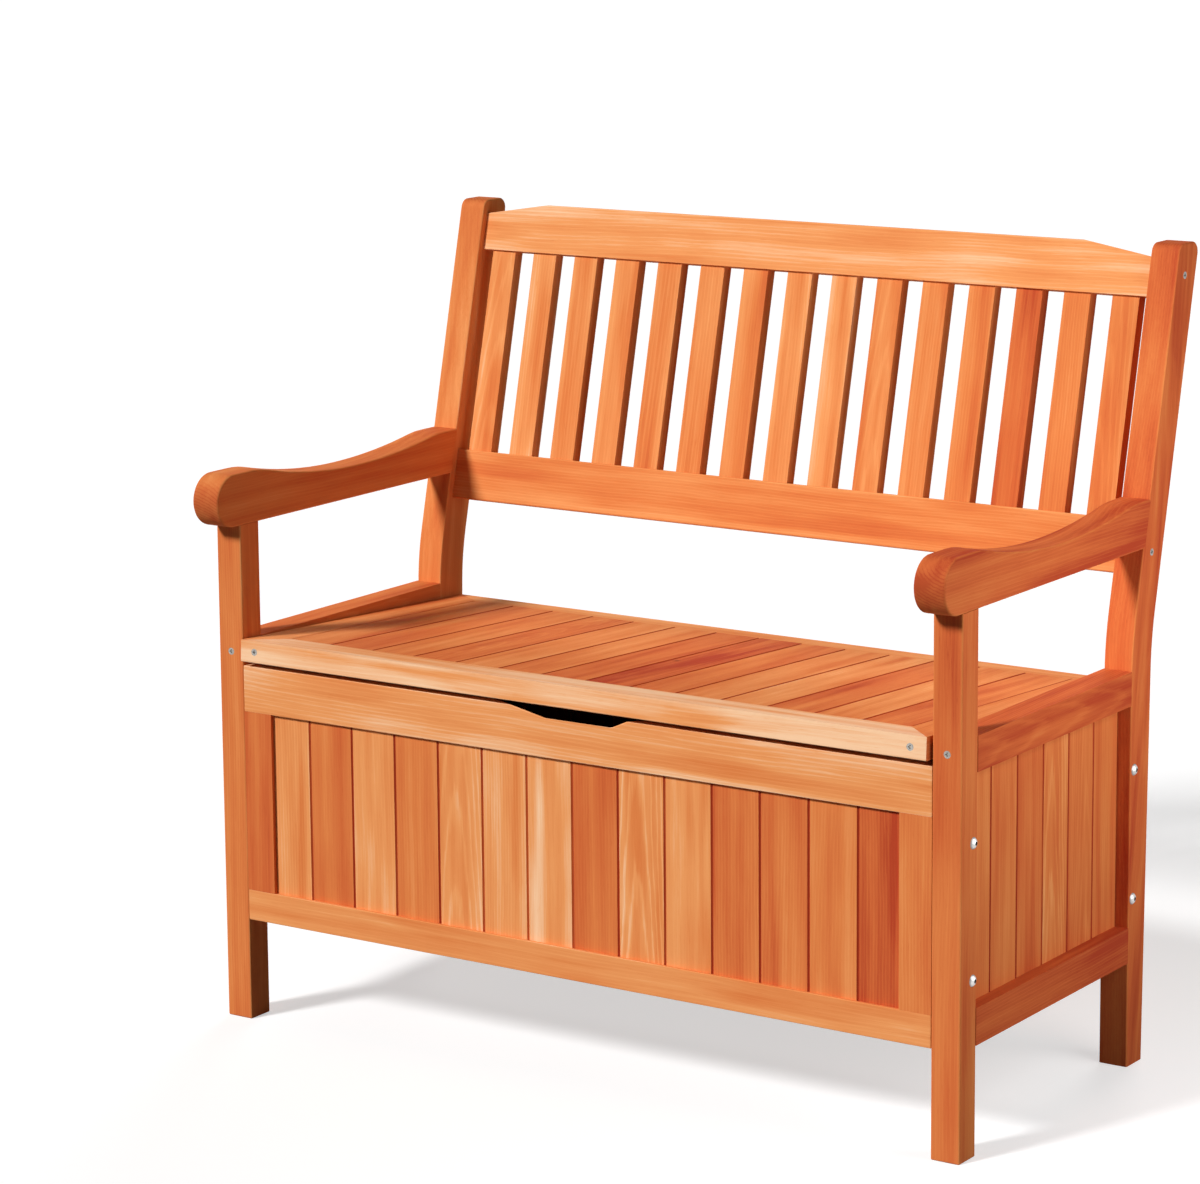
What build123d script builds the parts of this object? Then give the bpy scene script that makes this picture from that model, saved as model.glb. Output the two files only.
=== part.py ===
from build123d import *
import os
from math import cos, radians, sin, tan

# Garden storage bench. A plank box on four legs carries a raked slat back, two scrolled arms
# and a sloping seat lid, which lifts on two hinges and is held up by two gas struts.
# Sizes are in millimetres and degrees. The origin is on the floor under the middle of the bench,
# +Z is up and the front faces -Y. Left and right are those of a viewer in front.

# Overall sizes
width = 960.0  # over the outer faces of the legs
height = 900.0  # top of the rear posts
base_depth = 415.0  # front of the legs to the back of the posts, at the floor
leg = 34.0  # section of the legs, and width of the posts
edge_round = 2.0  # eased edges of legs, posts, rails and slats
wood_gap = 0.2  # play between boards laid side by side
fit_gap = 0.1  # play of a tongue, slat or fastener in its hole, on each side
seat_gap = 0.3  # running gap between the lid, or what moves with it, and the box

# Rear posts, bent at the knee
post_foot = 36.0  # depth at the floor
post_waist = 47.5  # depth from the knee up
knee_height = 473.0
back_rake = 13.5
knee_round = 300.0
post_top_round = 12.0

# Arms
arm_underside = 577.0
arm_thick = 60.0  # at the scroll
arm_overhang = 40.0  # scroll in front of the legs
arm_lip = 1.0  # overhang beside the leg
arm_hump = 32.0  # flat on top, from the scroll's centre
arm_crest_round = 130.0
arm_dip_turn = 13.0  # slope from the crest into the dip
arm_rise_turn = 9.5  # slope from the dip up to the tail
arm_dip_share = 0.525  # part of the sweep that lies before the lowest point
arm_tail_round = 150.0
arm_tail_flat = 16.0
arm_round = 2.5

# Back rest, measured up the rake from the knee
back_setback = 9.0  # rails behind the posts' front
back_rail_thick = 22.0
back_top_rail_height = 58.0
shoulder_run = 88.0  # sloping ends of the top rail
shoulder_drop = 14.5
back_lower_rail_rise = 78.0
back_lower_rail_height = 59.5
slat_count = 15
slat_width = 33.0
slat_thick = 15.0
slat_housing = 12.0  # length let into each rail

# Box panels
ground_clearance = 118.5
front_rail_thick = 24.0
front_bottom_rail_height = 35.5
front_top_rail_height = 53.0
front_top_rail_drop = 6.2  # below the lid's front edge
stile_body = 30.0
stile_lip = 8.0
panel_lip = 5.0  # thickness of the rails and stiles in front of the planks
plank_thick = 12.0
plank_lap = 10.0  # planks behind the rails' lips
plank_bevel = 1.5
tongue_length = 5.0
tongue_thick = 4.0
front_plank_count = 14
notch_length = 148.0  # finger notch in the front top rail
notch_floor = 84.0
notch_depth = 9.0
notch_shift = 12.0  # floor's middle right of the notch's
notch_round = 14.0
notch_scoop = 25.0  # slope of the notch down towards the box
side_rail_drop = 2.0  # below the top of the lid's front edge
side_top_rail_height = 38.0
side_bottom_rail_height = 40.0
side_recess = 16.0
side_plank_count = 6
groove_depth = 8.0
rear_stile_thick = 17.0
rear_stile_width = 38.0
rear_top_rail_thick = 34.0
rear_top_rail_height = 52.0
rear_bottom_rail_thick = 26.0
rear_rail_offset = 1.0  # bottom rail's middle behind that of the planks
rear_plank_count = 15
floor_cleat = 20.0
floor_board_thick = 10.0
floor_board_count = 9
floor_board_gap = 5.0

# Lid
seat_height = 447.5  # top of the lid's front edge
lid_tilt = 3.0
lid_proud = 6.5  # front edge in front of the legs
lid_side_gap = 3.0
lid_rear_cover = 24.0  # rear edge behind the front of the rear planks
lid_thick = 25.0
lid_frame_width = 40.0
lid_rear_width = 30.0
lid_plank_count = 14
lid_plank_thick = 11.0
lining_thick = 2.0
lid_stile_width = 27.0
lid_batten_width = 28.0
ledge_thick = 16.0
ledge_height = 33.0

# Hinges
hinge_spread = 604.0  # between the hinges' middles
hinge_width = 50.0
hinge_leaf = 24.0
leaf_thick = 1.5
hinge_gap = 3.4  # between the lid and the rear rail
knuckle_radius = 3.5
knuckle_count = 5
hinge_pin_radius = 2.0
running_gap = 0.05  # pins, rods and pistons in their bores

# Gas struts
strut_reach = 100.0  # lid pivot in front of the hinge axis, along the lid
strut_drop = 13.5  # lid pivot below the lid
strut_base_reach = 282.0  # box pivot in front of the hinge axis
strut_base_drop = 6.0  # box pivot below the hinge axis
strut_inset = 14.0  # strut axis inside the ledge
tube_radius = 7.5
tube_wall = 1.0
tube_start = 9.0  # from the box pivot
tube_length = 118.0
gland_length = 15.0
rod_radius = 3.0
piston_length = 8.0
eye_radius = 6.0
eye_thick = 8.0
pivot_radius = 2.5
pivot_collar = 4.5
pivot_head = 1.2
bracket_thick = 2.0
bracket_length = 32.0
bracket_height = 20.0
bracket_width = 22.0
ear_offset = 8.0  # lid bracket's ear outside the strut axis

# Fasteners
bolt_low_rise = 36.0  # above the front bottom rail
bolt_high_drop = 28.0  # below the front top rail
bolt_inset = 8.5  # from the leg's inner side
bolt_radius = 3.0
bolt_head_radius = 6.5
bolt_head_height = 3.5
bolt_length = 56.0
socket_across = 4.0
socket_depth = 2.0
barrel_radius = 5.0
barrel_length = 14.0
barrel_inset = 15.0  # from the joint to the barrel nut
screw_radius = 2.0
screw_head_radius = 4.0
screw_length = 58.0
leg_screw_drop = 15.0  # below the side rail's top
lid_screw_inset = 19.0  # from the lid's side
leaf_screw_radius = 1.5
leaf_screw_head = 2.6
leaf_screw_spread = 32.0
leaf_screw_length = 13.0
recess_reach = 0.55  # cross recess of a screw, in parts of its head's radius
recess_breadth = 0.16
recess_depth = 0.4
back_screw_rise = 27.0  # above the lower edge of a back rail
dowel_radius = 4.0
dowel_length = 30.0

# Derived places
SIDES = ((-1, "left"), (1, "right"))
outer_x = width / 2
inner_x = outer_x - leg
rake_run = tan(radians(back_rake))
top_rear = base_depth - post_foot + post_waist + rake_run * (height - knee_height - post_top_round)
post_back = top_rear + post_top_round * (1 - 1 / cos(radians(back_rake)))
overall_depth = arm_overhang + post_back
leg_front = arm_overhang - overall_depth / 2
leg_back = leg_front + leg
post_front = leg_front + base_depth - post_foot
arm_top = arm_underside + arm_thick
front_rail_back = leg_front + front_rail_thick
plank_front = leg_front + panel_lip
front_bottom_rail_top = ground_clearance + front_bottom_rail_height
side_bottom_rail_top = ground_clearance + side_bottom_rail_height
side_rail_top = seat_height - side_rail_drop
side_top_rail_bottom = side_rail_top - side_top_rail_height
side_plank_x = outer_x - side_recess - plank_thick / 2
rear_plank_front = post_front + rear_stile_thick
rear_plank_y = rear_plank_front + plank_thick / 2
rear_bottom_rail_y = rear_plank_y + rear_rail_offset

# The lid's own plane: its front edge on top, Y towards the hinges, Z out of the seat
seat = Plane(
    origin=(0, leg_front - lid_proud, seat_height),
    x_dir=(1, 0, 0),
    z_dir=(0, sin(radians(lid_tilt)), cos(radians(lid_tilt))),
)
lid_half = inner_x - lid_side_gap
lid_inner = lid_half - lid_frame_width
lid_depth = (rear_plank_front + lid_rear_cover - seat.origin.Y) / cos(radians(lid_tilt))
front_top_rail_top = seat.from_local_coords(Vector(0, lid_proud, -lid_thick)).Z - front_top_rail_drop
front_top_rail_bottom = front_top_rail_top - front_top_rail_height
bolt_low = front_bottom_rail_top + bolt_low_rise
bolt_high = front_top_rail_bottom - bolt_high_drop
axis_depth =lid_depth + knuckle_radius + seat_gap
axis_level = -lid_thick - hinge_gap / 2
hinge_axis = seat.from_local_coords(Vector(0, axis_depth, axis_level))
rear_rail_corner = seat.from_local_coords(Vector(0, lid_depth, -lid_thick - hinge_gap))
rear_rail_front = rear_rail_corner.Y - rear_top_rail_thick
rear_rail_bottom = rear_rail_corner.Z - rear_top_rail_height
ledge_x = inner_x - ledge_thick

# The back rest's plane: on the posts' front, Y up the rake, Z towards the sitter
back = Plane(
    origin=(0, post_front, knee_height),
    x_dir=(1, 0, 0),
    z_dir=(0, -cos(radians(back_rake)), sin(radians(back_rake))),
)
back_rise = (height - knee_height) / cos(radians(back_rake))
top_rail_foot = back_rise - back_top_rail_height
lower_rail_head = back_lower_rail_rise + back_lower_rail_height

# Strut pivots with the lid shut
strut_x = ledge_x - strut_inset
lid_pivot = seat.from_local_coords(Vector(0, axis_depth - strut_reach, -lid_thick - strut_drop))
box_pivot = Vector(0, hinge_axis.Y - strut_base_reach, hinge_axis.Z - strut_base_drop)
strut_line = lid_pivot - box_pivot
strut_length = strut_line.length

os.makedirs("parts", exist_ok=True)


def save(builder, name):
    """Label a finished piece and write it."""
    builder.part.label = name
    export_step(builder.part, f"parts/{name}.step")


def low_x(side, near, far):
    """Lower X of a span that runs from near to far on one side."""
    return min(side * near, side * far)


def lid_under(y, drop=0.0):
    """Height of a line below the lid's underside at a place from front to back."""
    run = y - seat.origin.Y
    slope = radians(lid_tilt)
    return seat_height - run * tan(slope) - (lid_thick + drop) / cos(slope)


def rake_front(z):
    """Front of the posts at a height above the knee."""
    return post_front + rake_run * (z - knee_height)


def facing_x(side, x, y, z):
    """Plane on a side face, looking outwards."""
    return Plane(origin=(side * x, y, z), x_dir=(0, 1, 0), z_dir=(side, 0, 0))


def facing_front(x, y, z):
    """Plane on a front face, looking at the sitter."""
    return Plane(origin=(x, y, z), x_dir=(1, 0, 0), z_dir=(0, -1, 0))


def facing_rear(x, y, z):
    """Plane on a rear face, looking backwards."""
    return Plane(origin=(x, y, z), x_dir=(1, 0, 0), z_dir=(0, 1, 0))


def lengthwise(plane):
    """Plane through the same origin whose Y runs along the old normal."""
    return Plane(origin=plane.origin, x_dir=plane.x_dir, z_dir=-plane.y_dir)


def bolt_planes(side, x, front=True, rear=True):
    """Bolt axes on one side, on a face at x."""
    rows = []
    if front:
        rows.append(leg_back - bolt_inset)
    if rear:
        rows.append(post_front + rear_stile_thick / 2)
    return [facing_x(side, x, y, z) for y in rows for z in (bolt_low, bolt_high)]


def leg_screw_plane(side):
    """Head of the screw through a leg into the side top rail."""
    return facing_front(side * (inner_x + leg / 2), leg_front, side_rail_top - leg_screw_drop)


def lid_screw_plane(side, rear):
    """Head of a screw through the lid's front or rear board into a side board."""
    depth = lid_depth if rear else 0
    facing = seat.y_dir if rear else -seat.y_dir
    origin = seat.from_local_coords(Vector(side * (lid_half - lid_screw_inset), depth, -lid_thick / 2))
    return Plane(origin=origin, x_dir=(1, 0, 0), z_dir=facing)


def leaf_screw_planes(side, level, fixed):
    """Heads of the screws in a hinge leaf, on the side of the leaf that faces the other one."""
    planes = []
    for end in (-1, 1):
        x = side * hinge_spread / 2 + end * leaf_screw_spread / 2
        z = level + leaf_thick if fixed else level
        origin = seat.from_local_coords(Vector(x, lid_depth - hinge_leaf / 2, z))
        planes.append(Plane(origin=origin, x_dir=(1, 0, 0), z_dir=seat.z_dir if fixed else -seat.z_dir))
    return planes


def arm_dowel_plane(side):
    """Joint of an arm and its leg."""
    return Plane(origin=(side * (inner_x + leg / 2), leg_front + leg / 2, arm_underside))


def arm_post_plane(side):
    """Joint of an arm and its raked post."""
    z = arm_underside + arm_thick / 2 - dowel_radius
    slope = radians(back_rake)
    return Plane(
        origin=(side * (inner_x + leg / 2), rake_front(z), z),
        x_dir=(1, 0, 0),
        z_dir=(0, cos(slope), -sin(slope)),
    )


def back_screw_planes(side):
    """Heads of the screws through a post into the ends of the back rails."""
    planes = []
    for rise in (top_rail_foot + back_screw_rise, back_lower_rail_rise + back_screw_rise):
        spot = back.from_local_coords(Vector(0, rise, -back_setback - back_rail_thick / 2))
        planes.append(facing_x(side, outer_x, spot.Y, spot.Z))
    return planes


def bracket_screw_planes(side, on_lid):
    """Heads of the screws in a strut bracket."""
    planes = []
    for end in (-1, 1):
        reach = end * (bracket_length / 2 - leaf_screw_head * 2)
        if on_lid:
            x = side * (strut_x + ear_offset - bracket_width / 2)
            depth = axis_depth - strut_reach + reach
            origin = seat.from_local_coords(Vector(x, depth, -lid_thick - bracket_thick))
            planes.append(Plane(origin=origin, x_dir=(1, 0, 0), z_dir=-seat.z_dir))
        else:
            planes.append(facing_x(-side, bracket_thick - ledge_x, box_pivot.Y + reach, box_pivot.Z))
    return planes


def screw_holes(planes, depth):
    """Plain holes for small screws."""
    for plane in planes:
        with Locations(plane):
            Hole(leaf_screw_radius + fit_gap, depth)


def screw_seats(planes, depth):
    """Countersunk holes for small screws."""
    for plane in planes:
        with Locations(plane):
            CounterSinkHole(leaf_screw_radius + fit_gap, leaf_screw_head + fit_gap, depth)


def side_dowel_planes(side):
    """Joints of the side rails: bottom rail to leg, bottom rail to post, top rail to post."""
    x = side * (inner_x + leg / 2)
    low = ground_clearance + side_bottom_rail_height / 2
    high = side_rail_top - side_top_rail_height / 2
    return [facing_rear(x, leg_back, low), facing_rear(x, post_front, low), facing_rear(x, post_front, high)]


def dowel_holes(planes, outwards):
    """Half of each dowel's hole, on one side of its joint."""
    for plane in planes:
        with Locations(plane if outwards else plane.rotated((180, 0, 0))):
            Hole(dowel_radius + fit_gap, dowel_length / 2 + fit_gap)


def plank_row(plane, count, span, thick, length):
    """Tongued and grooved planks side by side, bevelled on their show face, on a plane across their ends."""
    pitch = span / count
    board = pitch - wood_gap
    groove = tongue_length + wood_gap + fit_gap
    with BuildPart() as row:
        for i in range(count):
            with BuildSketch(plane):
                middle = pitch * (i + 0.5) - span / 2
                with Locations((middle, 0)):
                    Rectangle(board, thick, align=(Align.CENTER, Align.MIN))
                chamfer(vertices().group_by(Axis.Y)[0], plank_bevel)
                if i < count - 1:
                    with Locations((middle + board / 2, thick / 2)):
                        Rectangle(tongue_length, tongue_thick, align=(Align.MIN, Align.CENTER))
                if i > 0:
                    with Locations((middle - board / 2, thick / 2)):
                        Rectangle(
                            groove,
                            tongue_thick + 2 * fit_gap,
                            align=(Align.MIN, Align.CENTER),
                            mode=Mode.SUBTRACT,
                        )
            extrude(amount=length)
    return row


# Front legs
for side, hand in SIDES:
    with BuildPart() as front_leg:
        with BuildSketch():
            with Locations((side * (inner_x + leg / 2), leg_front + leg / 2)):
                RectangleRounded(leg, leg, edge_round)
        extrude(amount=arm_underside)
        chamfer(front_leg.faces().sort_by(Axis.Z)[0].edges(), edge_round / 2)
        for plane in bolt_planes(side, outer_x, rear=False):
            with Locations(plane):
                Hole(bolt_radius + fit_gap, leg)
        with Locations(leg_screw_plane(side)):
            CounterSinkHole(screw_radius + fit_gap, screw_head_radius + fit_gap, leg)
        dowel_holes([arm_dowel_plane(side)], True)
        dowel_holes(side_dowel_planes(side)[:1], True)
    save(front_leg, f"front_leg_{hand}")

# Rear posts, sawn to the bend
for side, hand in SIDES:
    with BuildPart() as rear_post:
        with BuildSketch(Plane.YZ.offset(low_x(side, inner_x, outer_x))):
            with BuildLine():
                FilletPolyline(
                    (post_front, 0),
                    (post_front, knee_height),
                    (rake_front(height), height),
                    (rake_front(height) + post_waist, height),
                    (post_front + post_waist, knee_height),
                    (post_front + post_foot, 0),
                    radius=(0, knee_round, post_top_round, post_top_round, knee_round, 0),
                    close=True,
                )
            make_face()
        extrude(amount=leg)
        fillet(rear_post.faces().filter_by(Axis.X).edges().filter_by(lambda e: e.center().Z > 1), edge_round)
        for plane in bolt_planes(side, outer_x, front=False):
            with Locations(plane):
                Hole(bolt_radius + fit_gap, leg)
        dowel_holes(side_dowel_planes(side)[1:] + [arm_post_plane(side)], False)
        for plane in back_screw_planes(side):
            with Locations(plane):
                CounterSinkHole(screw_radius + fit_gap, screw_head_radius + fit_gap, leg)
    save(rear_post, f"rear_post_{hand}")

# Arms: a round scroll over the leg, a crest, a long dip and a tail that is cut to the raked post
scroll_y = leg_front - arm_overhang + arm_thick / 2
sweep = rake_front(arm_underside) - scroll_y - arm_hump - arm_tail_flat
sweep -= arm_crest_round * sin(radians(arm_dip_turn)) + arm_tail_round * sin(radians(arm_rise_turn))
dip_round = sweep * arm_dip_share / sin(radians(arm_dip_turn))
rise_round = sweep * (1 - arm_dip_share) / sin(radians(arm_rise_turn))
for side, hand in SIDES:
    with BuildPart() as armrest:
        with BuildSketch(Plane.YZ.offset(low_x(side, inner_x - arm_lip, outer_x + arm_lip))):
            with BuildLine():
                under = Line((rake_front(arm_underside), arm_underside), (scroll_y, arm_underside))
                scroll = RadiusArc(under @ 1, (scroll_y, arm_top), arm_thick / 2)
                hump = Line(scroll @ 1, (scroll_y + arm_hump, arm_top))
                crest = JernArc(hump @ 1, (1, 0), arm_crest_round, -arm_dip_turn)
                dip = JernArc(crest @ 1, crest % 1, dip_round, arm_dip_turn)
                rise = JernArc(dip @ 1, dip % 1, rise_round, arm_rise_turn)
                tail = JernArc(rise @ 1, rise % 1, arm_tail_round, -arm_rise_turn)
                rest = Line(tail @ 1, (rake_front((tail @ 1).Y), (tail @ 1).Y))
                Line(rest @ 1, under @ 0)
            make_face()
        extrude(amount=leg + 2 * arm_lip)
        fillet(
            armrest.faces().filter_by(Axis.X).edges().filter_by(
                lambda e: e.center().Z > arm_underside + 1 and e.center().Y < rake_front(arm_underside) - 1
            ),
            arm_round,
        )
        dowel_holes([arm_dowel_plane(side)], False)
        dowel_holes([arm_post_plane(side)], True)
    save(armrest, f"armrest_{hand}")

# Back rest rails, with a housing for each slat
slat_pitch = 2 * inner_x / slat_count
slat_face = back.offset(-back_setback - (back_rail_thick - slat_thick) / 2)
housing_face = back.offset(-back_setback - (back_rail_thick - slat_thick) / 2 + fit_gap)
with BuildPart() as back_top_rail:
    with BuildSketch(back.offset(-back_setback)):
        with BuildLine():
            Polyline(
                (-inner_x, top_rail_foot),
                (inner_x, top_rail_foot),
                (inner_x, back_rise - shoulder_drop),
                (inner_x - shoulder_run, back_rise),
                (-inner_x + shoulder_run, back_rise),
                (-inner_x, back_rise - shoulder_drop),
                close=True,
            )
        make_face()
    extrude(amount=-back_rail_thick)
    fillet(back_top_rail.edges().group_by(Axis.Z)[-1], edge_round)
    with BuildSketch(housing_face):
        with Locations((0, top_rail_foot)):
            with GridLocations(slat_pitch, 1, slat_count, 1):
                Rectangle(
                    slat_width + 2 * fit_gap,
                    slat_housing + fit_gap,
                    align=(Align.CENTER, Align.MIN),
                )
    extrude(amount=-slat_thick - 2 * fit_gap, mode=Mode.SUBTRACT)
    for side, hand in SIDES:
        with Locations(back_screw_planes(side)[0]):
            Hole(screw_radius + fit_gap, screw_length + fit_gap)
save(back_top_rail, "back_top_rail")

with BuildPart() as back_lower_rail:
    with BuildSketch(back.offset(-back_setback)):
        with Locations((0, back_lower_rail_rise)):
            Rectangle(2 * inner_x, back_lower_rail_height, align=(Align.CENTER, Align.MIN))
    extrude(amount=-back_rail_thick)
    fillet(back_lower_rail.edges().filter_by(Axis.X), edge_round)
    with BuildSketch(housing_face):
        with Locations((0, lower_rail_head)):
            with GridLocations(slat_pitch, 1, slat_count, 1):
                Rectangle(
                    slat_width + 2 * fit_gap,
                    slat_housing + fit_gap,
                    align=(Align.CENTER, Align.MAX),
                )
    extrude(amount=-slat_thick - 2 * fit_gap, mode=Mode.SUBTRACT)
    for side, hand in SIDES:
        with Locations(back_screw_planes(side)[1]):
            Hole(screw_radius + fit_gap, screw_length + fit_gap)
save(back_lower_rail, "back_lower_rail")

with BuildPart() as back_slats:
    with BuildSketch(slat_face):
        with Locations((0, lower_rail_head - slat_housing)):
            with GridLocations(slat_pitch, 1, slat_count, 1):
                Rectangle(
                    slat_width,
                    top_rail_foot - lower_rail_head + 2 * slat_housing,
                    align=(Align.CENTER, Align.MIN),
                )
    extrude(amount=-slat_thick)
save(back_slats, "back_slats")

# Front panel: two rails and two stiles, rebated behind for the planks
with BuildPart() as front_top_rail:
    with BuildSketch(Plane.XZ.offset(-leg_front)):
        with Locations((0, front_top_rail_bottom)):
            Rectangle(2 * inner_x, front_top_rail_height, align=(Align.CENTER, Align.MIN))
    extrude(amount=-front_rail_thick)
    with BuildSketch(Plane.XZ.offset(-leg_front)):
        with BuildLine():
            FilletPolyline(
                (-notch_length / 2, front_top_rail_top),
                (notch_shift - notch_floor / 2, front_top_rail_top - notch_depth),
                (notch_shift + notch_floor / 2, front_top_rail_top - notch_depth),
                (notch_length / 2, front_top_rail_top),
                radius=(0, notch_round, notch_round, 0),
                close=True,
            )
        make_face()
    extrude(amount=-front_rail_thick, taper=-notch_scoop, mode=Mode.SUBTRACT)
    with BuildSketch(Plane.XZ.offset(-plank_front)):
        with Locations((0, front_top_rail_bottom)):
            Rectangle(2 * (inner_x - stile_body), plank_lap, align=(Align.CENTER, Align.MIN))
    extrude(amount=panel_lip - front_rail_thick, mode=Mode.SUBTRACT)
save(front_top_rail, "front_top_rail")

with BuildPart() as front_bottom_rail:
    with BuildSketch(Plane.XZ.offset(-leg_front)):
        with Locations((0, ground_clearance)):
            Rectangle(2 * inner_x, front_bottom_rail_height, align=(Align.CENTER, Align.MIN))
    extrude(amount=-front_rail_thick)
    with BuildSketch(Plane.XZ.offset(-plank_front)):
        with Locations((0, front_bottom_rail_top)):
            Rectangle(2 * (inner_x - stile_body), plank_lap, align=(Align.CENTER, Align.MAX))
    extrude(amount=panel_lip - front_rail_thick, mode=Mode.SUBTRACT)
save(front_bottom_rail, "front_bottom_rail")

for side, hand in SIDES:
    with BuildPart() as front_stile:
        with BuildSketch(Plane.XY.offset(front_bottom_rail_top)):
            with Locations((low_x(side, inner_x - stile_body, inner_x), leg_front)):
                Rectangle(stile_body, leg, align=(Align.MIN, Align.MIN))
            with Locations((low_x(side, inner_x - stile_body - stile_lip, inner_x - stile_body), leg_front)):
                Rectangle(stile_lip, panel_lip, align=(Align.MIN, Align.MIN))
        extrude(amount=front_top_rail_bottom - front_bottom_rail_top)
        for plane in bolt_planes(side, inner_x, rear=False):
            with Locations(plane):
                Hole(bolt_radius + fit_gap, stile_body)
            with Locations(facing_rear(side * (inner_x - barrel_inset), leg_back, plane.origin.Z)):
                Hole(barrel_radius + fit_gap, barrel_length + fit_gap)
    save(front_stile, f"front_stile_{hand}")

front_planks = plank_row(
    Plane(origin=(0, plank_front, front_bottom_rail_top - plank_lap + fit_gap)),
    front_plank_count,
    2 * (inner_x - stile_body),
    plank_thick,
    front_top_rail_bottom - front_bottom_rail_top + 2 * (plank_lap - fit_gap),
)
save(front_planks, "front_planks")

# Side panels: grooved rails between leg and post, with planks let in
side_span = post_front - leg_back
for side, hand in SIDES:
    with BuildPart() as side_top_rail:
        with BuildSketch(Plane.XZ.offset(-leg_back)):
            with Locations((side * (inner_x + leg / 2), side_top_rail_bottom)):
                Rectangle(leg, side_top_rail_height, align=(Align.CENTER, Align.MIN))
            with Locations((side * side_plank_x, side_top_rail_bottom)):
                Rectangle(
                    plank_thick + 2 * fit_gap,
                    groove_depth,
                    align=(Align.CENTER, Align.MIN),
                    mode=Mode.SUBTRACT,
                )
        extrude(amount=-side_span)
        with Locations(facing_front(side * (inner_x + leg / 2), leg_back, side_rail_top - leg_screw_drop)):
            Hole(screw_radius + fit_gap, screw_length - leg + fit_gap)
        dowel_holes(side_dowel_planes(side)[2:], True)
    save(side_top_rail, f"side_top_rail_{hand}")

    with BuildPart() as side_bottom_rail:
        with BuildSketch(Plane.XZ.offset(-leg_back)):
            with Locations((side * (inner_x + leg / 2), ground_clearance)):
                Rectangle(leg, side_bottom_rail_height, align=(Align.CENTER, Align.MIN))
            with Locations((side * side_plank_x, side_bottom_rail_top)):
                Rectangle(
                    plank_thick + 2 * fit_gap,
                    groove_depth,
                    align=(Align.CENTER, Align.MAX),
                    mode=Mode.SUBTRACT,
                )
        extrude(amount=-side_span)
        dowel_holes(side_dowel_planes(side)[:1], False)
        dowel_holes(side_dowel_planes(side)[1:2], True)
    save(side_bottom_rail, f"side_bottom_rail_{hand}")

    side_planks = plank_row(
        Plane(
            origin=(
                side * (side_plank_x + plank_thick / 2),
                (leg_back + post_front) / 2,
                side_bottom_rail_top - groove_depth + fit_gap,
            ),
            x_dir=(0, side, 0),
            z_dir=(0, 0, 1),
        ),
        side_plank_count,
        side_span,
        plank_thick,
        side_top_rail_bottom - side_bottom_rail_top + 2 * (groove_depth - fit_gap),
    )
    save(side_planks, f"side_planks_{hand}")

    # Ledge along the box side, sloped like the lid that rests on it
    with BuildPart() as lid_ledge:
        with BuildSketch(Plane.YZ.offset(low_x(side, ledge_x, inner_x))):
            with BuildLine():
                Polyline(
                    (front_rail_back, lid_under(front_rail_back, seat_gap + ledge_height)),
                    (rear_rail_front, lid_under(rear_rail_front, seat_gap + ledge_height)),
                    (rear_rail_front, lid_under(rear_rail_front, seat_gap)),
                    (front_rail_back, lid_under(front_rail_back, seat_gap)),
                    close=True,
                )
            make_face()
        extrude(amount=ledge_thick)
        screw_holes(bracket_screw_planes(side, False), leaf_screw_length + fit_gap)
    save(lid_ledge, f"lid_ledge_{hand}")

# Rear panel
with BuildPart() as rear_top_rail:
    with BuildSketch(Plane.YZ.offset(-inner_x)):
        with BuildLine():
            Polyline(
                (rear_rail_front, rear_rail_bottom),
                (rear_rail_corner.Y, rear_rail_bottom),
                (rear_rail_corner.Y, rear_rail_corner.Z),
                (rear_rail_front, lid_under(rear_rail_front, hinge_gap)),
                close=True,
            )
        make_face()
        with Locations((rear_plank_y, rear_rail_bottom)):
            Rectangle(
                plank_thick + 2 * fit_gap,
                groove_depth,
                align=(Align.CENTER, Align.MIN),
                mode=Mode.SUBTRACT,
            )
    extrude(amount=2 * inner_x)
    for side, hand in SIDES:
        screw_holes(leaf_screw_planes(side, -lid_thick - hinge_gap, True), leaf_screw_length + fit_gap)
save(rear_top_rail, "rear_top_rail")

with BuildPart() as rear_bottom_rail:
    with BuildSketch(Plane.YZ.offset(-inner_x)):
        with Locations((rear_bottom_rail_y, ground_clearance)):
            Rectangle(rear_bottom_rail_thick, front_bottom_rail_height, align=(Align.CENTER, Align.MIN))
        with Locations((rear_plank_y, front_bottom_rail_top)):
            Rectangle(
                plank_thick + 2 * fit_gap,
                groove_depth,
                align=(Align.CENTER, Align.MAX),
                mode=Mode.SUBTRACT,
            )
    extrude(amount=2 * inner_x)
save(rear_bottom_rail, "rear_bottom_rail")

for side, hand in SIDES:
    with BuildPart() as rear_stile:
        with BuildSketch(Plane.XY.offset(front_bottom_rail_top)):
            with Locations((low_x(side, inner_x - rear_stile_width, inner_x), post_front)):
                Rectangle(rear_stile_width, rear_stile_thick, align=(Align.MIN, Align.MIN))
        extrude(amount=rear_rail_bottom - front_bottom_rail_top)
        for plane in bolt_planes(side, inner_x, front=False):
            with Locations(plane):
                Hole(bolt_radius + fit_gap, rear_stile_width)
            with Locations(facing_front(side * (inner_x - barrel_inset), post_front, plane.origin.Z)):
                Hole(barrel_radius + fit_gap, barrel_length + fit_gap)
    save(rear_stile, f"rear_stile_{hand}")

rear_planks = plank_row(
    Plane(
        origin=(0, rear_plank_front + plank_thick, front_bottom_rail_top - groove_depth + fit_gap),
        x_dir=(-1, 0, 0),
        z_dir=(0, 0, 1),
    ),
    rear_plank_count,
    2 * inner_x,
    plank_thick,
    rear_rail_bottom - front_bottom_rail_top + 2 * (groove_depth - fit_gap),
)
save(rear_planks, "rear_planks")

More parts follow.
